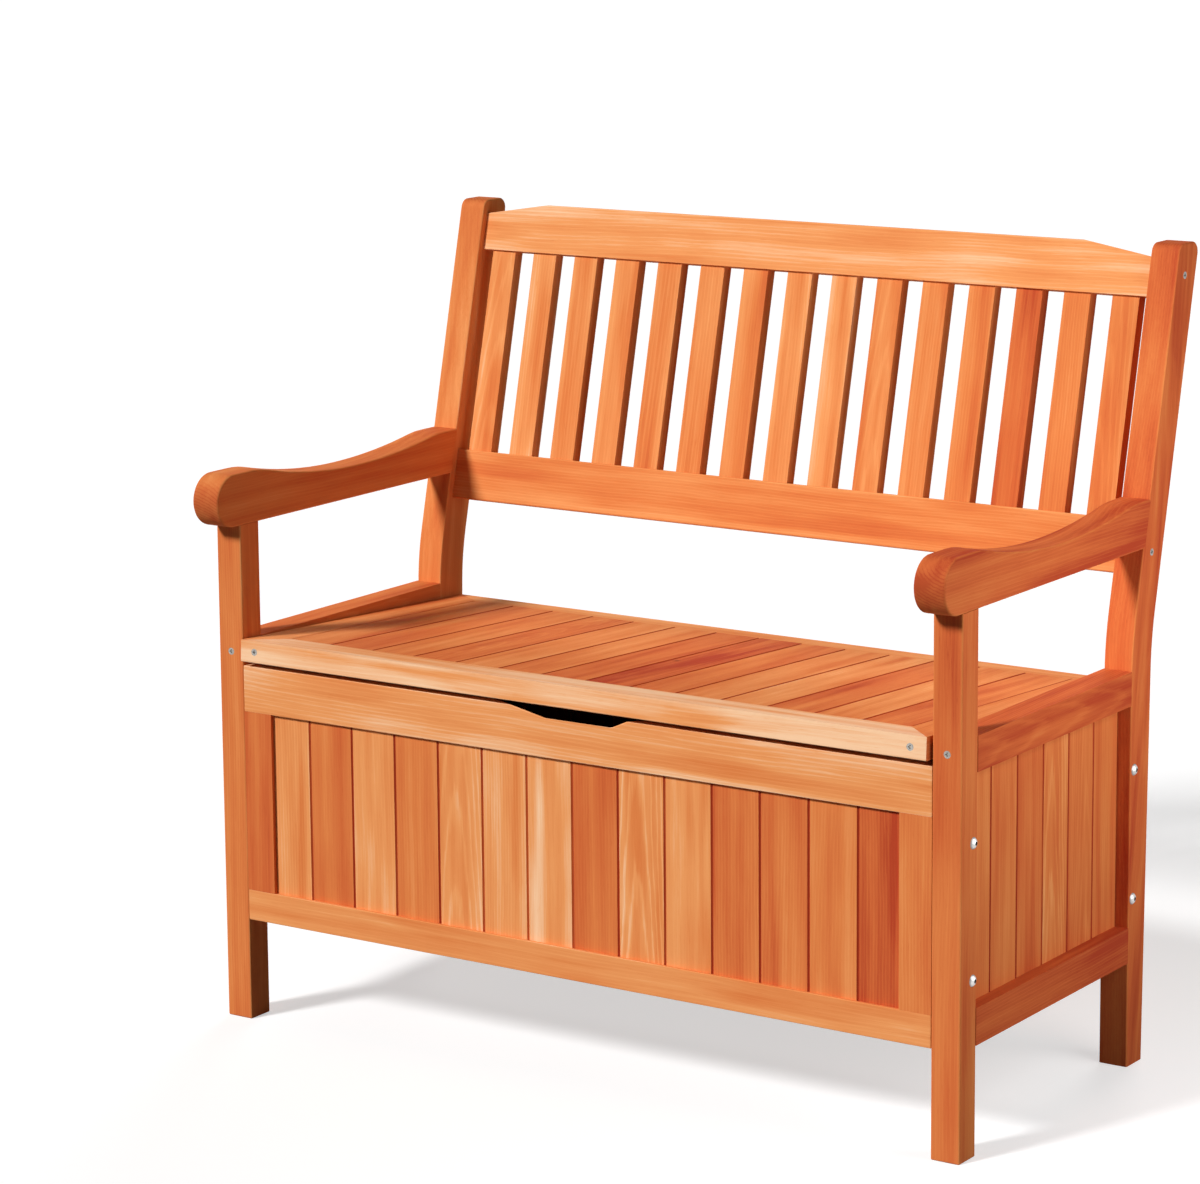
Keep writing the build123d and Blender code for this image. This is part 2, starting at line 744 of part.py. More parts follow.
# Floor boards on two cleats
rear_cleat_back = rear_bottom_rail_y - rear_bottom_rail_thick / 2
floor_level = ground_clearance + floor_cleat
with BuildPart() as floor_cleats:
    with BuildSketch(Plane.YZ.offset(-inner_x)):
        with Locations((front_rail_back, ground_clearance)):
            Rectangle(floor_cleat, floor_cleat, align=(Align.MIN, Align.MIN))
        with Locations((rear_cleat_back, ground_clearance)):
            Rectangle(floor_cleat, floor_cleat, align=(Align.MAX, Align.MIN))
    extrude(amount=2 * inner_x)
save(floor_cleats, "floor_cleats")

floor_pitch = 2 * inner_x / floor_board_count
with BuildPart() as floor_boards:
    with BuildSketch(Plane.XY.offset(floor_level)):
        with Locations((0, (front_rail_back + rear_cleat_back) / 2)):
            with GridLocations(floor_pitch, 1, floor_board_count, 1):
                Rectangle(floor_pitch - floor_board_gap, rear_cleat_back - front_rail_back - 2 * wood_gap)
    extrude(amount=floor_board_thick)
save(floor_boards, "floor_boards")

# Lid frame with mitred corners
frame_level = seat.offset(-lid_thick)
with BuildPart() as lid_front_board:
    with BuildSketch(frame_level):
        with BuildLine():
            Polyline(
                (-lid_half, 0),
                (lid_half, 0),
                (lid_inner, lid_frame_width),
                (-lid_inner, lid_frame_width),
                close=True,
            )
        make_face()
    extrude(amount=lid_thick)
    fillet(lid_front_board.edges().filter_by(Axis.X).group_by(Axis.Y)[0], arm_round / 2)
    for side, hand in SIDES:
        with Locations(lid_screw_plane(side, False)):
            CounterSinkHole(screw_radius + fit_gap, screw_head_radius + fit_gap, lid_frame_width)
save(lid_front_board, "lid_front_board")

with BuildPart() as lid_rear_board:
    with BuildSketch(frame_level):
        with BuildLine():
            Polyline(
                (-lid_inner, lid_depth - lid_rear_width),
                (lid_inner, lid_depth - lid_rear_width),
                (lid_half, lid_depth),
                (-lid_half, lid_depth),
                close=True,
            )
        make_face()
    extrude(amount=lid_thick)
    for side, hand in SIDES:
        with Locations(lid_screw_plane(side, True)):
            CounterSinkHole(screw_radius + fit_gap, screw_head_radius + fit_gap, lid_rear_width)
        screw_holes(leaf_screw_planes(side, -lid_thick - leaf_thick, False), leaf_screw_length + fit_gap)
save(lid_rear_board, "lid_rear_board")

for side, hand in SIDES:
    with BuildPart() as lid_side_board:
        with BuildSketch(frame_level):
            with BuildLine():
                Polyline(
                    (side * lid_half, 0),
                    (side * lid_half, lid_depth),
                    (side * lid_inner, lid_depth - lid_rear_width),
                    (side * lid_inner, lid_frame_width),
                    close=True,
                )
            make_face()
        extrude(amount=lid_thick)
        for rear in (False, True):
            with Locations(lid_screw_plane(side, rear)):
                Hole(screw_radius + fit_gap, screw_length + fit_gap)
        screw_holes(bracket_screw_planes(side, True), leaf_screw_length + fit_gap)
    save(lid_side_board, f"lid_side_board_{hand}")

# Lid planks, the lining under them, and the stiles and battens that hold both up
field_depth = lid_depth - lid_frame_width - lid_rear_width
lid_planks = plank_row(
    Plane(
        origin=seat.from_local_coords(Vector(0, lid_frame_width + wood_gap, 0)),
        x_dir=(1, 0, 0),
        z_dir=seat.y_dir,
    ),
    lid_plank_count,
    2 * lid_inner,
    lid_plank_thick,
    field_depth - 2 * wood_gap,
)
save(lid_planks, "lid_planks")

lining_level = seat.offset(-lid_plank_thick - lining_thick)
batten_thick = lid_thick - lid_plank_thick - lining_thick
with BuildPart() as lid_lining:
    with BuildSketch(lining_level):
        with Locations((0, lid_frame_width + field_depth / 2)):
            Rectangle(2 * (lid_inner - wood_gap), field_depth - 2 * wood_gap)
    extrude(amount=lining_thick)
save(lid_lining, "lid_lining")

for side, hand in SIDES:
    with BuildPart() as lid_stile:
        with BuildSketch(frame_level):
            with Locations((side * (lid_inner - lid_stile_width / 2), lid_frame_width + field_depth / 2)):
                Rectangle(lid_stile_width, field_depth)
        extrude(amount=batten_thick)
    save(lid_stile, f"lid_stile_{hand}")

with BuildPart() as lid_battens:
    with BuildSketch(frame_level):
        with Locations((0, lid_frame_width + field_depth / 2)):
            with GridLocations(1, (field_depth - lid_batten_width) / 2, 1, 3):
                Rectangle(2 * (lid_inner - lid_stile_width), lid_batten_width)
    extrude(amount=batten_thick)
save(lid_battens, "lid_battens")

# Hinges: two leaves with alternate knuckles on one pin
knuckle = hinge_width / knuckle_count
leaf_kinds = (
    ("fixed", 0, -lid_thick - hinge_gap),
    ("moving", 1, -lid_thick - leaf_thick),
)
for side, hand in SIDES:
    hinge_start = side * hinge_spread / 2 - hinge_width / 2
    barrel_end = Plane(origin=(hinge_start, hinge_axis.Y, hinge_axis.Z), x_dir=(0, 1, 0), z_dir=(1, 0, 0))
    for kind, first, level in leaf_kinds:
        with BuildPart() as leaf:
            with BuildSketch(seat.offset(level)):
                with Locations((side * hinge_spread / 2, lid_depth)):
                    Rectangle(hinge_width, hinge_leaf, align=(Align.CENTER, Align.MAX))
                for i in range(first, knuckle_count, 2):
                    with Locations((hinge_start + (i + 0.5) * knuckle, lid_depth)):
                        Rectangle(knuckle - wood_gap, axis_depth - lid_depth, align=(Align.CENTER, Align.MIN))
            extrude(amount=leaf_thick)
            for i in range(first, knuckle_count, 2):
                with BuildSketch(barrel_end.offset(i * knuckle + wood_gap / 2)):
                    Circle(knuckle_radius)
                extrude(amount=knuckle - wood_gap)
            with BuildSketch(barrel_end):
                Circle(hinge_pin_radius + running_gap)
            extrude(amount=hinge_width, mode=Mode.SUBTRACT)
            screw_seats(leaf_screw_planes(side, level, kind == "fixed"), leaf_thick)
        save(leaf, f"hinge_{kind}_leaf_{hand}")

    with BuildPart() as hinge_pin:
        with BuildSketch(barrel_end):
            Circle(hinge_pin_radius)
        extrude(amount=hinge_width)
        with BuildSketch(barrel_end, barrel_end.offset(hinge_width + leaf_thick)):
            Circle((hinge_pin_radius + knuckle_radius) / 2)
        extrude(amount=-leaf_thick)
    save(hinge_pin, f"hinge_pin_{hand}")

# Gas struts: a bracket on the ledge, a tube with an eye, a rod with its piston, a bracket on the lid
for side, hand in SIDES:
    on_ledge = Plane(
        origin=(side * ledge_x, box_pivot.Y, box_pivot.Z),
        x_dir=(0, 1, 0),
        z_dir=(-side, 0, 0),
    )
    with BuildPart() as strut_box_bracket:
        with BuildSketch(on_ledge):
            RectangleRounded(bracket_length, bracket_height, eye_radius / 2)
        extrude(amount=bracket_thick)
        with BuildSketch(on_ledge):
            Circle(pivot_collar)
        extrude(amount=strut_inset - eye_thick / 2 - seat_gap)
        with BuildSketch(on_ledge):
            Circle(pivot_radius)
        extrude(amount=strut_inset + eye_thick / 2 + seat_gap)
        with BuildSketch(on_ledge.offset(strut_inset + eye_thick / 2 + seat_gap)):
            Circle(pivot_collar)
        extrude(amount=pivot_head)
        screw_seats(bracket_screw_planes(side, False), bracket_thick)
    save(strut_box_bracket, f"strut_box_bracket_{hand}")

    along = Plane(
        origin=(side * strut_x, box_pivot.Y, box_pivot.Z),
        x_dir=(1, 0, 0),
        z_dir=strut_line,
    )
    across = on_ledge.offset(strut_inset)
    tube_end = tube_start + tube_length
    with BuildPart() as strut_cylinder:
        with BuildSketch(along.offset(tube_start)):
            Circle(tube_radius)
        extrude(amount=tube_length)
        fillet(strut_cylinder.edges(), tube_wall)
        with BuildSketch(along.offset(tube_start + tube_wall * 3)):
            Circle(tube_radius - tube_wall)
        extrude(amount=tube_length - tube_wall * 3 - gland_length, mode=Mode.SUBTRACT)
        with BuildSketch(along.offset(tube_end)):
            Circle(rod_radius + running_gap)
        extrude(amount=-gland_length, mode=Mode.SUBTRACT)
        with BuildSketch(along):
            Rectangle(eye_thick, 2 * eye_radius)
        extrude(amount=tube_start + tube_wall)
        with BuildSketch(across):
            Circle(eye_radius)
        extrude(amount=eye_thick / 2, both=True)
        with BuildSketch(across):
            Circle(pivot_radius + running_gap)
        extrude(amount=eye_thick / 2, both=True, mode=Mode.SUBTRACT)
    save(strut_cylinder, f"strut_cylinder_{hand}")

    piston_start = tube_start + tube_wall * 5
    lid_eye = Plane(
        origin=(side * strut_x, lid_pivot.Y, lid_pivot.Z),
        x_dir=seat.y_dir,
        z_dir=(side, 0, 0),
    )
    with BuildPart() as strut_rod:
        with BuildSketch(along.offset(piston_start)):
            Circle(rod_radius)
        extrude(amount=strut_length - piston_start - eye_radius / 2)
        with BuildSketch(along.offset(piston_start)):
            Circle(tube_radius - tube_wall - running_gap)
        extrude(amount=piston_length)
        with BuildSketch(lid_eye):
            Circle(eye_radius)
        extrude(amount=eye_thick / 2, both=True)
        with BuildSketch(lid_eye):
            Circle(pivot_radius)
        extrude(amount=ear_offset - seat_gap)
    save(strut_rod, f"strut_rod_{hand}")

    with BuildPart() as strut_lid_bracket:
        with BuildSketch(seat.offset(-lid_thick)):
            with Locations((side * (strut_x + ear_offset + bracket_thick), axis_depth - strut_reach)):
                Rectangle(
                    bracket_width,
                    bracket_length,
                    align=(Align.MAX if side > 0 else Align.MIN, Align.CENTER),
                )
        extrude(amount=-bracket_thick)
        with BuildSketch(lid_eye.offset(ear_offset)):
            Circle(eye_radius + tube_wall)
            with Locations((0, side * strut_drop / 2)):
                Rectangle(2 * (eye_radius + tube_wall), strut_drop)
        extrude(amount=bracket_thick)
        screw_seats(bracket_screw_planes(side, True), bracket_thick)
    save(strut_lid_bracket, f"strut_lid_bracket_{hand}")

# Bolts with domed socket heads, and the barrel nuts they run into
dome_radius = (bolt_head_radius**2 + bolt_head_height**2) / (2 * bolt_head_height)
with BuildPart() as panel_bolts:
    for side, hand in SIDES:
        for plane in bolt_planes(side, outer_x):
            with BuildSketch(lengthwise(plane)):
                with BuildLine():
                    crown = RadiusArc((bolt_head_radius, 0), (0, bolt_head_height), -dome_radius)
                    Polyline(crown @ 1, (0, -bolt_length), (bolt_radius, -bolt_length), (bolt_radius, 0), crown @ 0)
                make_face()
            revolve(axis=Axis(plane.origin, plane.z_dir))
            with BuildSketch(plane.offset(bolt_head_height)):
                RegularPolygon(socket_across / 2, 6, major_radius=False)
            extrude(amount=-socket_depth, mode=Mode.SUBTRACT)
save(panel_bolts, "panel_bolts")

with BuildPart() as barrel_nuts:
    for side, hand in SIDES:
        for plane in bolt_planes(side, inner_x - barrel_inset):
            inner_face = leg_back if plane.origin.Y < leg_back else post_front + barrel_length
            with BuildSketch(facing_rear(plane.origin.X, inner_face, plane.origin.Z)):
                Circle(barrel_radius)
            extrude(amount=-barrel_length)
            with BuildSketch(plane):
                Circle(bolt_radius)
            extrude(amount=barrel_radius, both=True, mode=Mode.SUBTRACT)
save(barrel_nuts, "barrel_nuts")


def countersunk(plane, shank, head, length):
    """One countersunk screw with a cross recess, its head flush with a plane."""
    with BuildSketch(lengthwise(plane)) as profile:
        with BuildLine():
            Polyline(
                (0, 0),
                (head, 0),
                (shank, shank - head),
                (shank, -length),
                (0, -length),
                close=True,
            )
        make_face()
    revolve(profile.sketch, axis=Axis(plane.origin, plane.z_dir))
    with BuildSketch(plane) as cross:
        Rectangle(2 * recess_reach * head, 2 * recess_breadth * head)
        Rectangle(2 * recess_breadth * head, 2 * recess_reach * head)
    extrude(cross.sketch, amount=-recess_depth * head, mode=Mode.SUBTRACT)


with BuildPart() as frame_screws:
    for side, hand in SIDES:
        for plane in [leg_screw_plane(side)] + back_screw_planes(side):
            countersunk(plane, screw_radius, screw_head_radius, screw_length)
save(frame_screws, "frame_screws")

with BuildPart() as lid_screws:
    for side, hand in SIDES:
        for rear in (False, True):
            countersunk(lid_screw_plane(side, rear), screw_radius, screw_head_radius, screw_length)
save(lid_screws, "lid_screws")

with BuildPart() as fitting_screws_frame:
    for side, hand in SIDES:
        fixed_leaf = leaf_screw_planes(side, -lid_thick - hinge_gap, True)
        for plane in fixed_leaf + bracket_screw_planes(side, False):
            countersunk(plane, leaf_screw_radius, leaf_screw_head, leaf_screw_length)
save(fitting_screws_frame, "fitting_screws_frame")

with BuildPart() as fitting_screws_lid:
    for side, hand in SIDES:
        moving_leaf = leaf_screw_planes(side, -lid_thick - leaf_thick, False)
        for plane in moving_leaf + bracket_screw_planes(side, True):
            countersunk(plane, leaf_screw_radius, leaf_screw_head, leaf_screw_length)
save(fitting_screws_lid, "fitting_screws_lid")

# Dowels in the arms and the side rails
with BuildPart() as frame_dowels:
    for side, hand in SIDES:
        for plane in [arm_dowel_plane(side), arm_post_plane(side)] + side_dowel_planes(side):
            with BuildSketch(plane):
                Circle(dowel_radius)
            extrude(amount=dowel_length / 2, both=True)
save(frame_dowels, "frame_dowels")
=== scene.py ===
import math
import random

import bpy
import numpy as np
from mathutils import Matrix, Vector

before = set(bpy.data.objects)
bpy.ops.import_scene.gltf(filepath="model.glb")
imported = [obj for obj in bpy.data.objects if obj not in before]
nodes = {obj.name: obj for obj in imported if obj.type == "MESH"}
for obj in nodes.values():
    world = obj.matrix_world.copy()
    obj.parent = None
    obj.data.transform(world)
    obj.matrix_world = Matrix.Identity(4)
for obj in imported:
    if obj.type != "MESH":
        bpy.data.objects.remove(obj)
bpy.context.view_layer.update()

# Dress the CAD pieces of a garden storage bench with materials and small rounded edges,
# then add the floor, the light and the camera
scene = bpy.context.scene

# Lengths in metres
MM = 0.001
SAME_PLACE = 0.001 * MM

# Directions of a board: along the grain, across its show face, and through its thickness
RAKE = math.radians(13.5)
POST_LEAN = 0.12
POST_RISE = 0.993
UPRIGHT_FRONT = ((0, 0, 1), (1, 0, 0), (0, 1, 0))
UPRIGHT_SIDE = ((0, 0, 1), (0, 1, 0), (1, 0, 0))
ALONG_FRONT = ((1, 0, 0), (0, 0, 1), (0, 1, 0))
ALONG_FLAT = ((1, 0, 0), (0, 1, 0), (0, 0, 1))
DEPTH_SIDE = ((0, 1, 0), (0, 0, 1), (1, 0, 0))
DEPTH_FLAT = ((0, 1, 0), (1, 0, 0), (0, 0, 1))
UP_THE_RAKE = ((0, math.sin(RAKE), math.cos(RAKE)), (1, 0, 0), (0, math.cos(RAKE), -math.sin(RAKE)))
POST_LINE = ((0, POST_LEAN, POST_RISE), (1, 0, 0), (0, POST_RISE, -POST_LEAN))

# Each wood node's board directions and the tones of its boards, from 0 pale honey to 1 deep red,
# in order along X, or along Y for the nodes in ROWS_IN_DEPTH
BOARDS = {
    "front_leg_left": (UPRIGHT_FRONT, [0.56]),
    "front_leg_right": (UPRIGHT_FRONT, [0.64]),
    "rear_post_left": (POST_LINE, [0.44]),
    "rear_post_right": (POST_LINE, [0.76]),
    "armrest_left": (DEPTH_SIDE, [0.58]),
    "armrest_right": (DEPTH_SIDE, [0.82]),
    "back_top_rail": (ALONG_FRONT, [0.28]),
    "back_lower_rail": (ALONG_FRONT, [0.44]),
    "back_slats": (
        UP_THE_RAKE,
        [0.28, 0.24, 0.44, 0.36, 0.48, 0.46, 0.42, 0.38, 0.26, 0.50, 0.44, 0.48, 0.72, 0.58, 0.56],
    ),
    "front_top_rail": (ALONG_FRONT, [0.20]),
    "front_bottom_rail": (ALONG_FRONT, [0.34]),
    "front_stile_left": (UPRIGHT_FRONT, [0.68]),
    "front_stile_right": (UPRIGHT_FRONT, [0.52]),
    "front_planks": (
        UPRIGHT_FRONT,
        [0.34, 0.58, 0.30, 0.52, 0.32, 0.28, 0.17, 0.60, 0.32, 0.31, 0.63, 0.62, 0.52, 0.84],
    ),
    "side_top_rail_left": (DEPTH_SIDE, [0.62]),
    "side_top_rail_right": (DEPTH_SIDE, [0.86]),
    "side_bottom_rail_left": (DEPTH_SIDE, [0.46]),
    "side_bottom_rail_right": (DEPTH_SIDE, [0.88]),
    "side_planks_left": (UPRIGHT_SIDE, [0.40, 0.60, 0.34, 0.52, 0.64, 0.44]),
    "side_planks_right": (UPRIGHT_SIDE, [0.60, 0.64, 0.70, 0.54, 0.66, 0.58]),
    "lid_ledge_left": (DEPTH_SIDE, [0.40]),
    "lid_ledge_right": (DEPTH_SIDE, [0.50]),
    "rear_top_rail": (ALONG_FRONT, [0.34]),
    "rear_bottom_rail": (ALONG_FRONT, [0.45]),
    "rear_stile_left": (UPRIGHT_FRONT, [0.50]),
    "rear_stile_right": (UPRIGHT_FRONT, [0.44]),
    "rear_planks": (
        UPRIGHT_FRONT,
        [0.35, 0.58, 0.28, 0.62, 0.32, 0.45, 0.26, 0.60, 0.40, 0.30, 0.66, 0.34, 0.52, 0.28, 0.48],
    ),
    "floor_boards": (DEPTH_FLAT, [0.30, 0.42, 0.26, 0.48, 0.35, 0.28, 0.44, 0.32, 0.40]),
    "floor_cleats": (ALONG_FLAT, [0.40, 0.34]),
    "frame_dowels": (ALONG_FLAT, [0.20]),
    "lid_front_board": (ALONG_FRONT, [0.08]),
    "lid_rear_board": (ALONG_FRONT, [0.35]),
    "lid_side_board_left": (DEPTH_FLAT, [0.44]),
    "lid_side_board_right": (DEPTH_FLAT, [0.48]),
    "lid_stile_left": (DEPTH_FLAT, [0.34]),
    "lid_stile_right": (DEPTH_FLAT, [0.42]),
    "lid_battens": (ALONG_FLAT, [0.30, 0.40, 0.34]),
    "lid_planks": (
        DEPTH_FLAT,
        [0.52, 0.58, 0.50, 0.60, 0.48, 0.52, 0.64, 0.88, 0.60, 0.42, 0.40, 0.64, 0.44, 0.56],
    ),
}

# How strongly the growth rings show, where a board isn't left to chance
FIGURES = {
    "front_planks": [0.45, 0.15, 0.25, 0.30, 0.65, 0.40, 0.15, 0.30, 1.00, 0.10, 0.48, 0.40, 0.30, 0.48],
    "side_planks_right": [0.30, 0.45, 0.40, 0.95, 0.55, 0.35],
    "front_top_rail": [0.45],
    "back_top_rail": [0.40],
    "back_lower_rail": [0.45],
    "lid_front_board": [0.25],
}

# Boards with dark joints, their V-grooves darkened by stain and painted shade, rows of boards counted
# along Y, and pieces whose sharp edges are rounded
GROOVED = ("front_planks", "side_planks_left", "side_planks_right", "rear_planks", "lid_planks")
ROWS_IN_DEPTH = ("side_planks_left", "side_planks_right", "floor_cleats", "lid_battens")
BEVELLED = (
    "back_top_rail", "back_lower_rail", "back_slats", "front_top_rail", "front_bottom_rail",
    "side_bottom_rail_left", "side_bottom_rail_right", "side_top_rail_left", "side_top_rail_right",
    "lid_ledge_left", "lid_ledge_right", "rear_top_rail", "rear_bottom_rail", "floor_boards",
    "floor_cleats", "lid_rear_board", "lid_side_board_left", "lid_side_board_right",
    "lid_stile_left", "lid_stile_right", "lid_battens", "front_stile_left", "front_stile_right",
)
BEVEL_WIDTH = 1.2 * MM
BEVEL_SEGMENTS = 2
BEVEL_FROM = math.radians(50)

# Figure left to chance, and the figure above which a board is flat-sawn
CHANCE_FIGURE = (0.2, 0.6)
FLAT_SAWN_ABOVE = 0.5

# Where a board was cut from its log: lengths in millimetres, leans in millimetres per millimetre
LOG_OFFSET = 4000
FLAT_SAWN_ACROSS = 14
FLAT_SAWN_LEAN = (0.025, 0.045)
QUARTER_SAWN_ACROSS = (45, 110)
QUARTER_SAWN_LEAN = 0.012
PITH_DEPTH = (22, 45)

# Wood patterns: scales per millimetre along, across and through a board, then the noise's detail
# and, for the fibre, its roughness
WANDER = ((0.003, 0.010, 0.010), 2.0)
RAGGED = ((0.02, 0.30, 0.30), 3.0)
FIBRE = ((0.020, 1.3, 1.3), 4.0, 0.6)
STREAK = ((0.0022, 0.06, 0.06), 3.0)
CLOUD = ((0.006, 0.02, 0.02), 2.0)
BLUSH = ((0.0035, 0.045, 0.045), 1.0)
FLECK = ((0.06, 1.5, 1.5), 1.0)

# Growth rings in millimetres, and knots: their cells per millimetre and the share that has one
WANDER_MM = 18.0
RAGGED_MM = 2.4
RING_MM = 3.5
KNOT_CELLS = 0.011
KNOT_SHARE = 0.04

# Stops of ramps: place and value
LATE_WOOD_STOPS = [(0.0, 0.25), (0.10, 0.0), (0.58, 0.0), (0.83, 1.0), (0.93, 0.9), (1.0, 0.25)]
BLUSH_STOPS = [(0.56, 0.0), (0.72, 1.0)]
FLECK_STOPS = [(0.64, 0.0), (0.76, 1.0)]
KNOT_STOPS = [(0.012, 1.0), (0.035, 0.35), (0.085, 0.0)]
# Painted shade on a bolt head: dark on faces that turn from the bolt's axis, for the shadow at its rim and
# in its socket
RIM_SHADE_STOPS = [(0.58, 0.85), (0.76, 0.0)]

# How far each pattern shifts the shade of the wood
STREAK_SHIFT = 0.66
CLOUD_SHIFT = 0.40
FIBRE_SHIFT = 0.22
BLUSH_SHIFT = 0.16
FLECK_SHIFT = 0.10
RING_SHIFT = 0.18
END_RING_SHIFT = 0.30
# Darkening of the V-groove faces, partly stain gathered there and partly painted shade
GROOVE_STAIN_AND_SHADE = 0.75
WORN_EDGE_SHIFT = 0.15
END_TINT = 0.55
KNOT_TINT = 0.75

# Surface of the wood
END_POWER = 3.0
CORNER_GAIN = 4.0
WOOD_ROUGHNESS = (0.55, 0.75)
END_ROUGHNESS = 0.12
WOOD_SPECULAR = 0.03
FIBRE_RELIEF = 0.7
RING_RELIEF = 0.25
WOOD_BUMP = (0.20 * MM, 0.5)

# Surface of the metal and the lining
MOTTLE_DARK = 0.72
MOTTLE_DETAIL = (4.0, 0.6)
MOTTLE_STOPS = (0.3, 0.65)
SCUFF_STRETCH = (1, 9, 9)
SCUFFS_PER_MOTTLE = 2
METAL_BUMP = (0.05 * MM, 0.4)
WEAVE_SCALE = 700.0
DUST_SCALE = 18.0
DUST_DETAIL = 4.0
DUST_STOPS = (0.3, 0.8)
LINING_ROUGHNESS = (0.62, 0.85)
LINING_SPECULAR = 0.2
LINING_BUMP = (0.2 * MM, 0.5)

# Floor and sky: what the camera sees, and the dimmer values that light the bench
FLOOR_REACH = 60.0
PAPER_GREY = 0.60
PAPER_GLOW = 0.52
BOUNCE_GREY = 0.20
BOUNCE_ROUGHNESS = 0.9
BOUNCE_SPECULAR = 0.1
AMBIENT = 0.04

# Camera: place in metres, turns in degrees, focal length in pixels of the photograph
CAMERA_PLACE = (2.4128, -3.7555, 1.4187)
CAMERA_YAW = 34.0
CAMERA_PITCH = 9.859
CAMERA_ROLL = -0.494
FOCAL_PIXELS = 4076.0
PHOTO_WIDTH = 1200
SENSOR_WIDTH = 36.0
CAMERA_SHIFT = -0.1
CAMERA_FAR = 200.0


def islands(mesh):
    """Places of the vertices, the number of the board that each is in, and how many boards there are."""
    count = len(mesh.vertices)
    co = np.zeros(count * 3)
    mesh.vertices.foreach_get("co", co)
    co = co.reshape(-1, 3)
    parent = list(range(count))

    def root(i):
        while parent[i] != i:
            parent[i] = parent[parent[i]]
            i = parent[i]
        return i

    first = {}
    for i, key in enumerate(map(tuple, np.round(co / SAME_PLACE).astype(np.int64))):
        parent[i] = first.setdefault(key, i)
    for face in mesh.polygons:
        corners = list(face.vertices)
        a = root(corners[0])
        for other in corners[1:]:
            parent[root(other)] = a
    names = {}
    label = np.array([names.setdefault(root(i), len(names)) for i in range(count)])
    return co, label, len(names)


def pith_of(flat_sawn, chance):
    """Place of the log's middle across and through a board, and its lean along the board."""
    if flat_sawn:
        across = chance.uniform(-FLAT_SAWN_ACROSS, FLAT_SAWN_ACROSS)
    else:
        across = chance.choice((-1, 1)) * chance.uniform(*QUARTER_SAWN_ACROSS)
    through = chance.choice((-1, 1)) * chance.uniform(*PITH_DEPTH)
    if flat_sawn:
        lean = -chance.uniform(*FLAT_SAWN_LEAN)
    else:
        lean = chance.uniform(-QUARTER_SAWN_LEAN, QUARTER_SAWN_LEAN)
    return across, through, lean


def lay_grain(name, directions, tones):
    """Give a wood node its grain coordinates in millimetres, its tone, figure and place in the log."""
    mesh = nodes[name].data
    co, label, boards = islands(mesh)
    axis = 1 if name in ROWS_IN_DEPTH else 0
    order = sorted(range(boards), key=lambda i: co[label == i][:, axis].mean())
    turn = np.array(directions, float)
    grain = np.zeros_like(co)
    pith = np.zeros_like(co)
    look = np.zeros_like(co)
    grooved = 1.0 if name in GROOVED else 0.0
    chance = random.Random(name)
    for place, board in enumerate(order):
        mine = label == board
        local = (co[mine] - (co[mine].min(0) + co[mine].max(0)) / 2) @ turn.T / MM
        local[:, 0] += chance.uniform(-LOG_OFFSET, LOG_OFFSET)
        figure = chance.uniform(*CHANCE_FIGURE)
        if name in FIGURES:
            figure = FIGURES[name][place]
        grain[mine] = local
        pith[mine] = pith_of(figure > FLAT_SAWN_ABOVE, chance)
        look[mine] = (tones[place % len(tones)], figure, grooved)
    layers = {
        "grain": grain,
        "pith": pith,
        "look": look,
        "along": np.tile(turn[0], (len(co), 1)),
        "across": np.tile(turn[1], (len(co), 1)),
    }
    for title, values in layers.items():
        layer = mesh.attributes.new(title, "FLOAT_VECTOR", "POINT")
        layer.data.foreach_set("vector", values.astype(np.float32).ravel())


class Tree:
    """A node tree, with short calls to add to it."""

    def __init__(self, tree):
        self.tree = tree
        tree.nodes.clear()

    def add(self, kind, **settings):
        node = self.tree.nodes.new(kind)
        for key, value in settings.items():
            setattr(node, key, value)
        return node

    def link(self, source, target):
        self.tree.links.new(source, target)

    def feed(self, value, target):
        if isinstance(value, bpy.types.NodeSocket):
            self.link(value, target)
        else:
            target.default_value = value

    def math(self, operation, a, b=0.0, clamp=False):
        node = self.add("ShaderNodeMath", operation=operation, use_clamp=clamp)
        self.feed(a, node.inputs[0])
        self.feed(b, node.inputs[1])
        return node.outputs[0]

    def choose(self, factor, a, b):
        """Shader a where the factor is 0 and shader b where it is 1."""
        node = self.add("ShaderNodeMixShader")
        self.link(factor, node.inputs["Fac"])
        self.link(a.outputs[0], node.inputs[1])
        self.link(b.outputs[0], node.inputs[2])
        return node.outputs[0]

    def looked_at(self):
        """1 for what the camera sees, also by reflection, and 0 for light that falls on the bench."""
        rays = self.add("ShaderNodeLightPath").outputs
        direct = self.math("MAXIMUM", rays["Is Camera Ray"], rays["Is Glossy Ray"])
        return self.math("MAXIMUM", direct, rays["Is Transmission Ray"])


